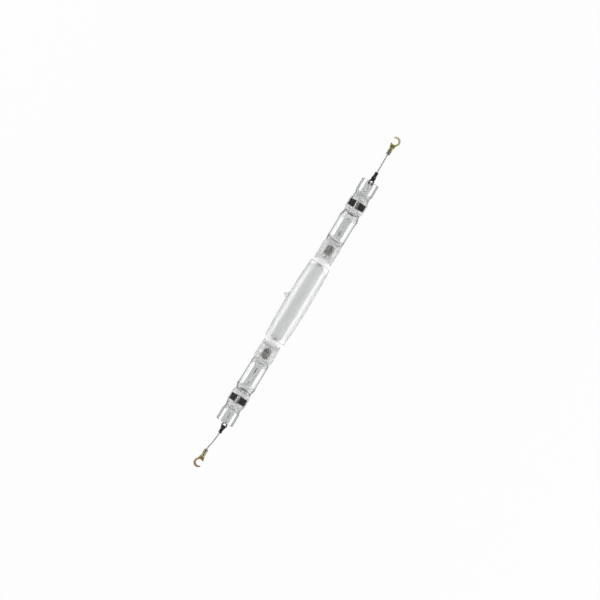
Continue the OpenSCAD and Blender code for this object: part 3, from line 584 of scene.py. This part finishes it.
def quartz_material(settings):
    """Clear quartz: milky with haze on the arc tube, crisp on the tubes, and on the seals broken into milky and
    clear patches with dimpled press marks."""
    n = Nodes("fused_quartz_clear")
    s = n.shader
    s.inputs["IOR"].default_value = 1.46
    x = n.axis("X", absolute=True)
    bulb = n.span(x, 0.0600, 0.0650, 1, 0)
    inner_seal = n.band(x, (0.061, 0.067), (0.087, 0.093))
    outer_seal = n.band(x, (0.132, 0.139), (0.156, 0.163))
    over_foil = n.band(x, (0.1405, 0.1425), (0.1520, 0.1540))
    pressed = n.sum("SUBTRACT", n.sum("ADD", inner_seal, outer_seal), over_foil)
    patches = n.span(n.noise(260, detail=3, rough=0.5), 0.40, 0.58, 0.3, 1.0)
    flecks = n.span(n.noise(900, detail=3, rough=0.6), 0.40, 0.54, 0.3, 1.0)
    over_inner = n.sum("MULTIPLY", n.band(x, (0.0705, 0.0725), (0.0840, 0.0860)), n.span(n.axis("Y", absolute=True), 0.0045, 0.0062, 1, 0))
    thin = n.sum("MULTIPLY", n.span(over_inner, 0, 1, settings.milk, settings.milk * 0.3), n.span(outer_seal, 0, 1, 1, 2.6))
    milky = n.sum("MINIMUM", n.sum("MULTIPLY", n.sum("MULTIPLY", pressed, thin), n.sum("MULTIPLY", patches, flecks)), 0.8)
    ends = n.sum("ADD", n.sum("ADD", n.band(x, (0.0855, 0.0890), (0.0920, 0.0985)), n.band(x, (0.1235, 0.1300), (0.1325, 0.1370))),
                 n.band(x, (0.1560, 0.1595), (0.1610, 0.1665)))
    ends = n.sum("MULTIPLY", ends, n.span(n.noise(180, detail=2), 0.35, 0.60, 0.65, 1.0))
    bowed = n.sum("ADD", x, n.sum("MULTIPLY", n.sum("ABSOLUTE", n.sum("SUBTRACT", n.axis("Y"), 0.0015)), 0.6))
    foot = n.sum("MULTIPLY", n.span(bowed, 0.0530, 0.0600, 0, 1), n.span(x, 0.0655, 0.0715, 1, 0))
    film = n.sum("MAXIMUM", n.sum("MAXIMUM", milky, n.sum("MULTIPLY", foot, 0.72)), n.sum("MULTIPLY", ends, settings.ends))
    by_coil = n.sum("MULTIPLY", n.band(x, (0.0490, 0.0550), (0.0565, 0.0590)), n.span(n.axis("Y", absolute=True), 0.0012, 0.0065, 1, 0))
    white = n.sum("MAXIMUM", n.sum("MULTIPLY", bulb, settings.cloud), film)
    n.link(n.sum("SUBTRACT", 1.0, n.sum("MULTIPLY", white, n.span(by_coil, 0, 1, 1, 0.62))), s.inputs["Transmission Weight"])
    specks = n.ramp(n.noise(850, detail=3, rough=0.6), [(0.33, hexed("83847f")), (0.41, hexed("eceded")), (0.60, hexed("ffffff"))])
    clear = n.mix(pressed, tuple(settings.tint), specks)
    # painted shade: dark marks in the glass along the beads at the outer seals' ends, and in patches round the strap's
    # ends
    crease_shade = n.sum("MULTIPLY", n.band(x, (0.1530, 0.1540), (0.1600, 0.1615)), n.band(n.axis("Y", absolute=True), (0.0092, 0.0099), (0.0107, 0.0114)))
    strap_end_shade = n.sum("MULTIPLY", n.sum("SUBTRACT", outer_seal, over_foil), n.span(n.axis("Y", absolute=True), 0.0050, 0.0080, 1, 0))
    marks = n.sum("MAXIMUM", n.sum("MULTIPLY", crease_shade, n.span(n.noise(800, detail=2), 0.44, 0.52, 0, 0.75)),
                  n.sum("MULTIPLY", strap_end_shade, n.span(n.noise(640, detail=3), 0.36, 0.42, 0.65, 0)))
    clear = n.mix(marks, clear, hexed("3c3e3d"))
    # painted shade: the glass's colour is darkened towards 1e2021 where its outer skin is seen edge on, for dark edge
    # lines
    facing = n.add("ShaderNodeLayerWeight").outputs["Facing"]
    hollow = n.add("ShaderNodeAttribute", attribute_name="shade").outputs["Fac"]
    edge_shade = n.sum("MULTIPLY", n.sum("MULTIPLY", n.span(facing, 0.44, 0.56, 0, settings.edge_shade), n.sum("SUBTRACT", 1.0, hollow)),
                n.span(bulb, 0, 1, 1, 0.45))
    n.link(n.mix(edge_shade, clear, hexed("1e2021")), s.inputs["Base Color"])
    haze = n.sum("MULTIPLY", n.sum("MULTIPLY", bulb, settings.haze), n.span(by_coil, 0, 1, 1, 0.12))
    n.link(n.sum("ADD", haze, n.sum("MULTIPLY", pressed, 0.04)), s.inputs["Roughness"])
    dimples = n.sum("MULTIPLY", pressed, n.span(over_inner, 0, 1, 1, 0.35))
    n.bump(n.sum("MULTIPLY", n.noise(520, detail=4, rough=0.6), n.sum("ADD", dimples, 0.003)), 0.8, 0.0010)
    return n.material


def coat_material():
    """Chalky white coat that lets some light through, a little warmer in patches, thin and broken at its edge on
    the arc tube."""
    n = Nodes("zirconia_white")
    s = n.shader
    n.link(n.ramp(n.noise(260), [(0.35, hexed("fbfbfa")), (0.7, hexed("f6f4f1"))]), s.inputs["Base Color"])
    s.inputs["Roughness"].default_value = 0.9
    s.inputs["Transmission Weight"].default_value = 0.15
    s.inputs["IOR"].default_value = 1.2
    x = n.sum("ADD", n.axis("X", absolute=True), n.sum("MULTIPLY", n.sum("SUBTRACT", n.noise(420, detail=3), 0.5), 0.0016))
    edge = n.add("ShaderNodeAttribute", attribute_name="shade").outputs["Fac"]
    n.link(n.sum("MULTIPLY", n.span(x, 0.0560, 0.0590, 0.0, 1), n.span(edge, 0, 1, 1, 0)), s.inputs["Alpha"])
    n.bump(n.noise(2600), 0.10, 0.0001)
    return n.material


def inner_foil_material(end):
    """Grey pressed foil. The left one is darker on one side of a wavering line, the right one all over in blobs."""
    n = Nodes("inner_foil_grey_" + end)
    cloud = n.noise(520, detail=5)
    dark = n.ramp(cloud, [(0.40, hexed("4a4944")), (0.56, hexed("b0aea7"))])
    pale = n.ramp(cloud, [(0.38, hexed("a3a19b")), (0.6, hexed("e2e0db"))])
    if end == "left":
        waver = n.sum("ADD", n.axis("Y"), n.sum("MULTIPLY", n.sum("SUBTRACT", n.noise(300), 0.5), 0.004))
        share = n.sum("MAXIMUM", n.span(waver, -0.0016, -0.0010, 0, 1), n.span(n.noise(330), 0.48, 0.53, 0, 0.7))
    else:
        share = n.span(n.noise(300, detail=3), 0.41, 0.47, 0, 1)
    rag = n.sum("MULTIPLY", n.sum("SUBTRACT", n.noise(600), 0.5), 0.004)
    inside = n.span(n.sum("ADD", n.axis("Y", absolute=True), rag), 0.0042, 0.0048, 1, 0)
    fold = n.sum("ADD", n.axis("Y"), n.sum("MULTIPLY", n.sum("SUBTRACT", n.noise(350), 0.5), 0.0015))
    inside = n.sum("SUBTRACT", inside, n.band(fold, (0.0010, 0.0014), (0.0021, 0.0025)))
    n.link(n.mix(n.sum("MULTIPLY", share, inside), pale, dark), n.shader.inputs["Base Color"])
    n.link(n.span(cloud, 0.3, 0.7, 0.35, 0.6), n.shader.inputs["Roughness"])
    n.shader.inputs["Metallic"].default_value = 0.25
    n.bump(n.noise(1500), 0.3, 0.0002)
    return n.material


def hook_material(end, zones):
    """Brass lug whose colour changes along it, from the barrel's end to the hook, and which is painted near black along
    each crimp groove as shade.
    """
    n = Nodes("lug_brass_" + end)
    x = n.axis("X", absolute=True)
    along = n.sum("ADD", n.span(x, 0.223, 0.2505, 0, 1),
                  n.sum("MULTIPLY", n.sum("SUBTRACT", n.noise(380), 0.5), 0.10))
    colour = n.ramp(along, [(at, hexed(code)) for at, code in zones])
    patina = n.span(n.noise(900, detail=6), 0.55, 0.75, 0, 0.35)
    groove = n.add("ShaderNodeAttribute", attribute_name="shade").outputs["Fac"]
    metal_colour = n.mix(patina, colour, hexed("5a5236"))
    # painted shade: the crimp grooves, barrel ends and bore are mixed towards near black
    n.link(n.mix(n.span(groove, 0.08, 0.45, 0, 0.97), metal_colour, hexed("12110d")), n.shader.inputs["Base Color"])
    n.link(n.span(n.noise(700), 0.3, 0.7, 0.28, 0.5), n.shader.inputs["Roughness"])
    n.shader.inputs["Metallic"].default_value = 0.85
    n.bump(n.noise(2200), 0.2, 0.0001)
    return n.material


def ring_material(end):
    """Blackened steel with bright flecks painted in as glints; the right one's barrel has turned dark red at its end.
    """
    n = Nodes("blackened_steel_" + end)
    # painted highlight: the top of this ramp puts bright flecks into the colour for glints
    black = n.ramp(n.noise(620, detail=3), [(0.44, hexed("0b0b0a")), (0.56, hexed("2f2f2c")), (0.64, hexed("a8a8a1"))])
    if end == "right":
        burnt = n.span(n.axis("X", absolute=True), 0.1900, 0.1925, 0, 0.9)
        black = n.mix(burnt, black, hexed("3d2528"))
    groove = n.add("ShaderNodeAttribute", attribute_name="shade").outputs["Fac"]
    # painted shade: the crimp grooves, barrel ends and bore are mixed towards near black
    n.link(n.mix(n.span(groove, 0.15, 0.7, 0, 0.9), black, hexed("0c0c0b")), n.shader.inputs["Base Color"])
    n.link(n.span(n.noise(1400), 0.35, 0.65, 0.14, 0.40), n.shader.inputs["Roughness"])
    n.shader.inputs["Metallic"].default_value = 0.85
    n.bump(n.noise(2600), 0.5, 0.0001)
    return n.material


def floor_material(settings):
    """White floor that shows as plain white to the camera, gloss and glass, with a share of its own shading so
    that the object's soft shadow stays. In gloss and glass a strip within 5 to 13 mm of the lamp's axis shows less
    plain white: partly its real shadow, partly a painted shadow."""
    n = Nodes("studio_floor")
    tree = n.tree
    shader = n.add("ShaderNodeBsdfDiffuse")
    shader.inputs["Color"].default_value = (0.5, 0.5, 0.5, 1)
    glow = n.add("ShaderNodeEmission")
    path = n.add("ShaderNodeLightPath")
    seen = n.sum("MULTIPLY", path.outputs["Is Camera Ray"], settings.floor_glow)
    # painted shadow: the white share falls by place, close to the lamp's axis
    beside = n.span(n.axis("Y", absolute=True), 0.005, 0.013, settings.glow_under_lamp, settings.floor_glow)
    through = n.sum("MULTIPLY", n.sum("MAXIMUM", path.outputs["Is Glossy Ray"], path.outputs["Is Transmission Ray"]), beside)
    mix = n.add("ShaderNodeMixShader")
    n.link(n.sum("MAXIMUM", seen, through), mix.inputs[0])
    n.link(shader.outputs[0], mix.inputs[1])
    n.link(glow.outputs[0], mix.inputs[2])
    n.link(mix.outputs[0], tree.nodes["Material Output"].inputs["Surface"])
    tree.nodes.remove(n.shader)
    return n.material


# ---------------------------------------------------------------- settings

class LampQuartzSettings(bpy.types.PropertyGroup):
    tint: bpy.props.FloatVectorProperty(name="Tint", description="Colour that the quartz lets through", subtype="COLOR",
                                        size=3, default=(0.945, 0.955, 0.955), min=0, max=1)
    haze: bpy.props.FloatProperty(name="Haze", description="Roughness of the arc tube's quartz", default=0.14, min=0, max=1)
    cloud: bpy.props.FloatProperty(name="Cloud", description="Share of white film on the arc tube", default=0.40, min=0, max=1)
    ends: bpy.props.FloatProperty(name="Ends", description="Share of white film at the tubes' closed ends", default=0.48,
                                  min=0, max=1)
    milk: bpy.props.FloatProperty(name="Milk", description="Share of milky white in the seals' patches", default=0.72, min=0, max=1)
    # painted shade: how far the glass's colour is darkened where it is seen edge on
    edge_shade: bpy.props.FloatProperty(name="Rim", description="How dense the glass looks where it is seen edge on", default=0.92,
                                 min=0, max=1)
    press_marks: bpy.props.FloatProperty(name="Press marks", description="Depth of the press marks on the seals, in mm",
                                         default=0.16, min=0, max=0.4)


class LampMetalSettings(bpy.types.PropertyGroup):
    strands: bpy.props.IntProperty(name="Strands", description="Strands seen round each lead", default=9, min=5, max=20)
    lay_pitch: bpy.props.FloatProperty(name="Lay", description="Length of one turn of the strands, in mm", default=13.0,
                                       min=5, max=40)
    crimp_depth: bpy.props.FloatProperty(name="Crimp depth", description="Depth of the crimp grooves, in mm", default=0.4,
                                         min=0, max=1)


class LampStageSettings(bpy.types.PropertyGroup):
    floor_glow: bpy.props.FloatProperty(name="Floor white", description="Share of plain white in the floor as it is seen",
                                        default=0.965, min=0, max=1)
    glow_under_lamp: bpy.props.FloatProperty(name="Floor white under the lamp",
                                             description="Share of plain white under the lamp, as glass and metal show it",
                                             default=0.30, min=0, max=1)
    distance: bpy.props.FloatProperty(name="Camera height", description="Height of the camera over the lamp's middle",
                                      default=3.0, min=0.5, max=10, unit="LENGTH")


# ---------------------------------------------------------------- operators

def both(name):
    """Names of a node's left and right copies."""
    return [(end, f"{name}_{end}") for end in ENDS]


class LAMP_OT_stage(bpy.types.Operator):
    """Camera straight above, pale floor, soft lights and a plain world"""
    bl_idname = "lamp.stage"
    bl_label = "Stage"

    def execute(self, context):
        settings = context.scene.lamp_stage
        scene = context.scene
        lean = math.radians(58.6)
        right = np.array([math.cos(lean), -math.sin(lean), 0])
        up = np.array([math.sin(lean), math.cos(lean), 0])
        camera_data = bpy.data.cameras.new("photo_camera")
        camera_data.sensor_width = 36
        camera_data.lens = 36 * settings.distance / 0.777
        camera_data.clip_end = 20
        camera = bpy.data.objects.new("photo_camera", camera_data)
        scene.collection.objects.link(camera)
        matrix = np.eye(4)
        matrix[:3, 0], matrix[:3, 1], matrix[:3, 2] = right, up, (0, 0, 1)
        matrix[:3, 3] = (0.00412, -0.00128, settings.distance)
        camera.matrix_world = Matrix(matrix.tolist())
        scene.camera = camera

        floor_mesh = bpy.data.meshes.new("studio_floor")
        half, z = 4.0, CAD_BOX[0][2] - 0.0001
        floor_mesh.from_pydata([(-half, -half, z), (half, -half, z), (half, half, z), (-half, half, z)], [], [(0, 1, 2, 3)])
        floor = bpy.data.objects.new("studio_floor", floor_mesh)
        scene.collection.objects.link(floor)
        floor_mesh.materials.append(floor_material(settings))

        for name, x, y, z, wide, deep, power in (
            ("soft_left", 0.0, 1.0, 0.26, 1.8, 0.5, 10.0), ("soft_right", 0.0, -1.0, 0.26, 1.8, 0.5, 12.0),
            ("soft_end", 1.2, 0.0, 1.3, 0.8, 0.8, 3.0),
        ):
            data = bpy.data.lights.new(name, "AREA")
            data.shape, data.size, data.size_y, data.energy = "RECTANGLE", wide, deep, power
            light = bpy.data.objects.new(name, data)
            scene.collection.objects.link(light)
            light.location = (x, y, z)
            light.rotation_euler = Vector((-x, -y, -z)).to_track_quat("-Z", "Y").to_euler()

        world = bpy.data.worlds.new("studio_air")
        scene.world = world
        world.use_nodes = True
        tree = world.node_tree
        path = tree.nodes.new("ShaderNodeLightPath")
        where = tree.nodes.new("ShaderNodeTexCoord")
        split = tree.nodes.new("ShaderNodeSeparateXYZ")
        tree.links.new(where.outputs["Generated"], split.inputs[0])
        sky = tree.nodes.new("ShaderNodeValToRGB")
        sky.color_ramp.elements.new(0.5)
        for element, (at, grey) in zip(sky.color_ramp.elements, ((0.1, 0.8), (0.45, 0.7), (0.85, 0.42))):
            element.position, element.color = at, (grey, grey, grey, 1)
        tree.links.new(split.outputs["Z"], sky.inputs["Fac"])
        mix = tree.nodes.new("ShaderNodeMix")
        mix.data_type = "RGBA"
        tree.links.new(path.outputs["Is Camera Ray"], mix.inputs[0])
        tree.links.new(sky.outputs["Color"], mix.inputs[6])
        mix.inputs[7].default_value = (1, 1, 1, 1)
        tree.links.new(mix.outputs[2], tree.nodes["Background"].inputs["Color"])

        scene.view_settings.view_transform = "Standard"
        return {"FINISHED"}


class LAMP_OT_hook_lugs(bpy.types.Operator):
    """Open brass hooks with crimped barrels"""
    bl_idname = "lamp.hook_lugs"
    bl_label = "Hook lugs"
    zones = {
        "left": [(0.0, "8c6f76"), (0.09, "8c7a76"), (0.16, "a9a98a"), (0.36, "9f9d79"), (0.46, "857c50"), (0.56, "b39562"),
                 (0.78, "c4aa78"), (1.0, "b2957a")],
        "right": [(0.0, "6c6870"), (0.12, "858279"), (0.36, "908e5e"), (0.48, "6a6838"), (0.58, "a9a75c"), (0.74, "c8c389"),
                  (1.0, "ddceb4")],
    }

    def execute(self, context):
        depth = context.scene.lamp_metal.crimp_depth
        for end, name in both("hook_lug"):
            y0 = HOOK_Y[end]
            corners = [(-10.0, -1.68), (-4.2, -4.41), (-2.1, 4.62), (-4.62, 4.62), (-10.0, 1.68)]
            corners = [(x, y - 0.6) for x, y in corners]
            plate = lug_plate((HOOK_HOLE_X, y0 + 0.6), 4.2, 6.3, (0.7, -1.0), corners, -2.8, 1.0, (50, 134))
            barrel, grooves = barrel_grid(224.0, 10.5, 2.8, 28, 3, depth, y0)
            scoop = scoop_grid(234.5, 1, 2.8, 1.0, 2.7, y0)
            patches = [patch(turned_to(plate, end)), patch(turned_to(barrel, end), round_rows=True, shade=grooves),
                       patch(turned_to(scoop, end))]
            make_piece(name + "_brass", patches, hook_material(end, self.zones[end]), [name], 50)
        return {"FINISHED"}


class LAMP_OT_lead_wires(bpy.types.Operator):
    """Short stranded nickel leads"""
    bl_idname = "lamp.lead_wires"
    bl_label = "Lead wires"

    def execute(self, context):
        settings = context.scene.lamp_metal
        metal = worn_metal_and_shade("nickel_strand_grey", hexed("66665f"), hexed("a2a29d"), (0.3, 0.5), 1400)
        for end, name in both("lead_wire"):
            grid = turned_to(strand_grid(end, settings.strands, settings.lay_pitch), end)
            piece = make_piece(name + "_strands", [patch(grid)], metal, [name])
            path = turned_to(lead_path(end), end) * MM
            length = float(np.linalg.norm(np.diff(path, axis=0), axis=1).sum())
        return {"FINISHED"}


class LAMP_OT_ring_terminals(bpy.types.Operator):
    """Blackened ring terminals with crimped barrels"""
    bl_idname = "lamp.ring_terminals"
    bl_label = "Ring terminals"

    def execute(self, context):
        depth = context.scene.lamp_metal.crimp_depth
        for end, name in both("ring_terminal"):
            ring_x, y0 = MOUTH_X + RING_OUT[end], RING_Y[end]
            neck = 190.0 - ring_x + 1.0
            corners = [(2.15, -3.28), (neck, -1.5), (neck, 1.5), (2.15, 3.28), (-0.5, 0.5), (-0.5, -0.5)]
            plate = lug_plate((ring_x, y0), 2.15, 4.1, (0, 0), corners, -2.5, 1.0)
            barrel, grooves = barrel_grid(190.0, 7.0, 2.5, 0, 2, depth, y0)
            scoop = scoop_grid(190.0, -1, 2.5, 1.0, 2.4, y0)
            patches = [patch(turned_to(plate, end), round_rows=True), patch(turned_to(barrel, end), round_rows=True, shade=grooves),
                       patch(turned_to(scoop, end))]
            make_piece(name + "_black", patches, ring_material(end), [name], 50)
        return {"FINISHED"}


class LAMP_OT_envelope(bpy.types.Operator):
    """Fused quartz envelope with its tip, pressed seals, necks and sleeves"""
    bl_idname = "lamp.envelope"
    bl_label = "Envelope"

    def execute(self, context):
        settings = context.scene.lamp_quartz
        make_piece("quartz_envelope_clear", envelope_patches(settings.press_marks), quartz_material(settings),
                   ["quartz_envelope"])
        return {"FINISHED"}


class LAMP_OT_end_coats(bpy.types.Operator):
    """White heat-reflecting coats on the arc tube's ends"""
    bl_idname = "lamp.end_coats"
    bl_label = "End coats"

    def execute(self, context):
        white = coat_material()
        for end, name in both("end_coat"):
            make_piece(name + "_white", [coat_patch(end)], white, [name])
        return {"FINISHED"}


class LAMP_OT_electrodes(bpy.types.Operator):
    """Tungsten electrodes and their coils"""
    bl_idname = "lamp.electrodes"
    bl_label = "Electrodes"

    def execute(self, context):
        metal = worn_metal_and_shade("tungsten_dark", hexed("19191a"), hexed("3c3c3e"), (0.35, 0.55), 1200)
        for end, name in both("electrode_rod"):
            tip = [(54.2, 0.45), (54.32, 0.7), (54.65, 0.9), (71.55, 0.9), (71.7, 0.75)]
            make_piece(name + "_tungsten", [patch(turned_to(turned(tip, 32), end))], metal, [name], 40)
        for end, name in both("electrode_coil"):
            make_piece(name + "_tungsten", [patch(turned_to(coil_grid(), end))], metal, [name], 60)
        return {"FINISHED"}


class LAMP_OT_inner_seals(bpy.types.Operator):
    """Inner foils and the straps folded over them"""
    bl_idname = "lamp.inner_seals"
    bl_label = "Inner seal metal"

    def execute(self, context):
        strap_metal = worn_metal_and_shade("strap_grey", hexed("4f4d48"), hexed("b0ada6"), (0.3, 0.5), 800)
        for end, name in both("inner_foil"):
            grid = sheet_strip(72.1, 84.5, 9.9, 0.24, 0.07, 2 if end == "left" else 4)
            make_piece(name + "_grey", [patch(turned_to(grid, end))], inner_foil_material(end), [name],
                       40)
        for end, name in both("inner_strap"):
            # painted shade: the groove beside each strap's seam is painted dark by its material
            grid, groove = strap_grid(INNER_MID, 15.6, 4.7, 2.6)
            make_piece(name + "_grey", [patch(turned_to(grid, end), shade=groove)], strap_metal, [name], 40)
        return {"FINISHED"}


class LAMP_OT_neck_rods(bpy.types.Operator):
    """Rods in the neck tubes and the ferrules that join them"""
    bl_idname = "lamp.neck_rods"
    bl_label = "Neck rods"

    def execute(self, context):
        metal = worn_metal_and_shade("nickel_rod_grey", hexed("b4b5b5"), hexed("d8d8d6"), (0.35, 0.5), 900, metallic=0.75, stretch=(0.3, 1, 1))
        sleeve = worn_metal_and_shade("nickel_ferrule_grey", hexed("929290"), hexed("bdbdba"), (0.3, 0.5), 900, metallic=0.8)
        for end, name in both("inner_lead"):
            make_piece(name + "_nickel", [patch(turned_to(bar(84.9, 103.55, 1.1), end))], metal, [name], 40)
        for end, name in both("link_rod"):
            make_piece(name + "_nickel", [patch(turned_to(bar(103.65, 141.0, 1.1), end))], metal, [name], 40)
        x = np.linspace(99.95, 107.25, 60)
        groove = 0.18 * (np.exp(-((x - 101.65) / 0.35) ** 2) + np.exp(-((x - 105.55) / 0.35) ** 2))
        outer = np.stack([x, 1.7 - groove], axis=-1)
        profile = np.vstack([[(99.7, 1.15), (99.7, 1.45)], outer, [(107.5, 1.45), (107.5, 1.15)]])
        for end, name in both("splice_ferrule"):
            make_piece(name + "_nickel", [patch(turned_to(turned(profile, 40), end), round_rows=True)], sleeve, [name],
                       50)
        return {"FINISHED"}


class LAMP_OT_outer_seals(bpy.types.Operator):
    """Wide black outer foils and the bright straps across them"""
    bl_idname = "lamp.outer_seals"
    bl_label = "Outer seal metal"

    def execute(self, context):
        black = worn_metal_and_shade("molybdenum_black", hexed("0b0b0a"), hexed("26261f"), (0.45, 0.7), 420, metallic=0.0, bump=0.35)
        # painted shade: each bright strap is painted black along one side of its seam
        bright = {"left": worn_metal_and_shade("strap_bright_left", hexed("a5a59f"), hexed("fbfbf8"), (0.08, 0.25), 700,
                                     stretch=(0.4, 1, 1), shaded_side=(-0.0012, -0.0004)),
                  "right": worn_metal_and_shade("strap_bright_right", hexed("75756f"), hexed("ededea"), (0.08, 0.25), 700,
                                      stretch=(0.4, 1, 1), shaded_side=(-0.0018, -0.0008))}
        for end, name in both("outer_foil"):
            grid = sheet_strip(142.5, 152.0, 21.9, 0.24, 0.06, 6 if end == "left" else 7, 50, 140)
            make_piece(name + "_black", [patch(turned_to(grid, end))], black, [name], 40)
        for end, name in both("outer_strap"):
            # painted shade: the groove beside each strap's seam is painted dark by its material
            grid, groove = strap_grid(OUTER_MID, 14.9, 5.4, 2.6, -0.3 if end == "left" else 1.0)
            make_piece(name + "_bright", [patch(turned_to(grid, end), shade=groove)], bright[end], [name],
                       40)
        return {"FINISHED"}


class LAMP_OT_end_pins(bpy.types.Operator):
    """Pins through the end sleeves, bent and flattened onto the rings"""
    bl_idname = "lamp.end_pins"
    bl_label = "End pins"

    def execute(self, context):
        metal = worn_metal_and_shade("nickel_pin_grey", hexed("aaaaa8"), hexed("d0d0ce"), (0.3, 0.5), 900, metallic=0.75)
        for end, name in both("outer_pin"):
            ring_x = MOUTH_X + RING_OUT[end]
            tang = ring_x - 5.6
            x = np.linspace(153.5, ring_x - 2.2, 110)
            flat = np.clip((x - (tang - 3)) / 3.5, 0, 1)
            flat = flat * flat * (3 - 2 * flat)
            side = softened(np.interp(x, [153.5, 166.5, tang], [0, 0, RING_Y[end]]), 5, False)
            path = np.stack([x, side, -1.0 * flat], axis=-1)
            grid = swept(path, 1.1 + 0.28 * flat, 1.1 - 0.6 * flat, 36, 2.2)
            make_piece(name + "_nickel", [patch(turned_to(grid, end))], metal, [name], 45)
        return {"FINISHED"}


class LAMP_OT_mercury(bpy.types.Operator):
    """Drop of mercury on the wall of the arc tube"""
    bl_idname = "lamp.mercury"
    bl_label = "Mercury"

    def execute(self, context):
        metal = worn_metal_and_shade("mercury_drop", hexed("8f9092"), hexed("c9cacc"), (0.03, 0.08), 300, bump=0.02)
        low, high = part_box("mercury_bead")
        centre = (np.array(low) + np.array(high)) / 2 / MM
        a = np.linspace(4, 176, 25)
        profile = np.stack([centre[0] - 0.79 * np.cos(np.radians(a)), 0.79 * np.sin(np.radians(a))], axis=-1)
        make_piece("mercury_bead_drop", [patch(turned(profile, 32, (centre[1], centre[2])))], metal, ["mercury_bead"])
        return {"FINISHED"}


OPERATORS = (
    LAMP_OT_stage, LAMP_OT_hook_lugs, LAMP_OT_lead_wires, LAMP_OT_ring_terminals, LAMP_OT_envelope, LAMP_OT_end_coats,
    LAMP_OT_electrodes, LAMP_OT_inner_seals, LAMP_OT_neck_rods, LAMP_OT_outer_seals, LAMP_OT_end_pins, LAMP_OT_mercury,
)


class LAMP_PT_parts(bpy.types.Panel):
    """Sizes, colours and pieces of the lamp"""
    bl_label = "Metal halide lamp"
    bl_idname = "LAMP_PT_parts"
    bl_space_type = "VIEW_3D"
    bl_region_type = "UI"
    bl_category = "Lamp"

    def draw(self, context):
        scene = context.scene
        for settings in (scene.lamp_quartz, scene.lamp_metal, scene.lamp_stage):
            for key in settings.__annotations__:
                self.layout.prop(settings, key)
        for operator in OPERATORS:
            self.layout.operator(operator.bl_idname)


SETTINGS = (("lamp_quartz", LampQuartzSettings), ("lamp_metal", LampMetalSettings), ("lamp_stage", LampStageSettings))


def register():
    for name, group in SETTINGS:
        bpy.utils.register_class(group)
        setattr(bpy.types.Scene, name, bpy.props.PointerProperty(type=group))
    for cls in (*OPERATORS, LAMP_PT_parts):
        bpy.utils.register_class(cls)


def unregister():
    for cls in reversed((*OPERATORS, LAMP_PT_parts)):
        bpy.utils.unregister_class(cls)
    for name, group in reversed(SETTINGS):
        delattr(bpy.types.Scene, name)
        bpy.utils.unregister_class(group)


def main():
    register()
    for operator in OPERATORS:
        group, name = operator.bl_idname.split(".")
        getattr(getattr(bpy.ops, group), name)()


if __name__ == "__main__":
    main()
